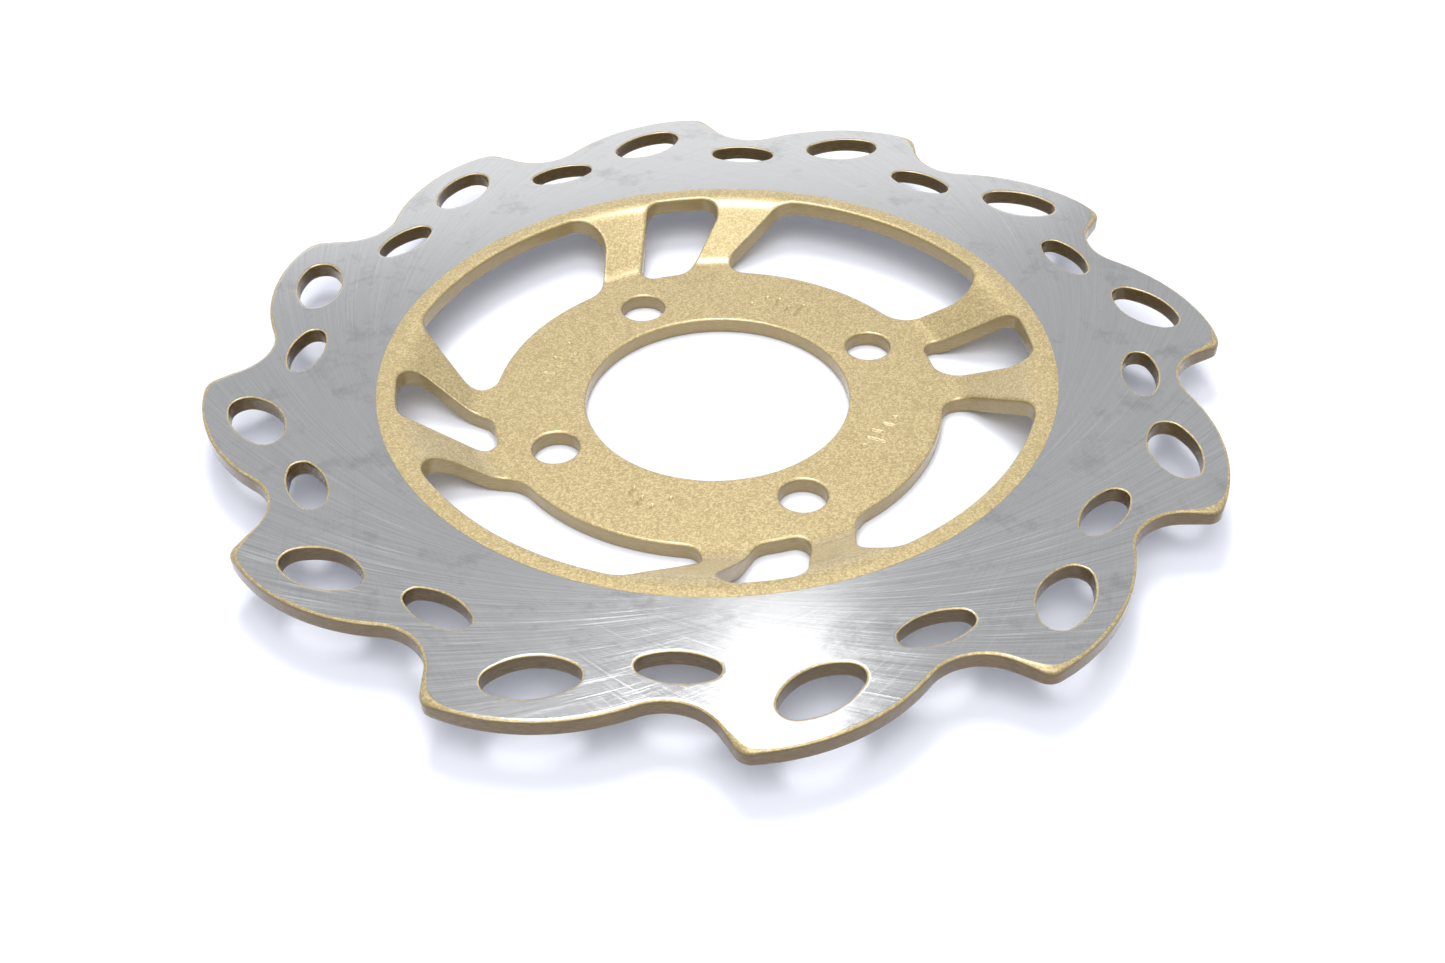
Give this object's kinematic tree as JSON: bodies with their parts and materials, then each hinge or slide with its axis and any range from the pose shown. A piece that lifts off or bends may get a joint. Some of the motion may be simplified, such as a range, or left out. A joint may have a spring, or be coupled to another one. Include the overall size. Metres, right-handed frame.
{
  "type": "brake disc rotor",
  "caption": "Dished motorcycle brake disc: a petal-edged, slotted friction ring carried by slanted spokes on a flange that centres and bolts on the wheel hub.",
  "frame": {"origin": "centre of the bore, on the flange's back face, which is also the lowest face", "axes": "+Z along the bore's axis, from the flange's back face towards the friction ring; +X through one bolt hole"},
  "size_m": [0.2188, 0.2188, 0.0126],
  "materials": {
    "ground_steel": "ground stainless steel, fine turning marks",
    "gold_paint": "satin gold metallic paint on steel"
  },
  "bodies": {
    "root": {"friction_ring": "ground_steel", "carrier": "gold_paint"}
  },
  "joints": []
}
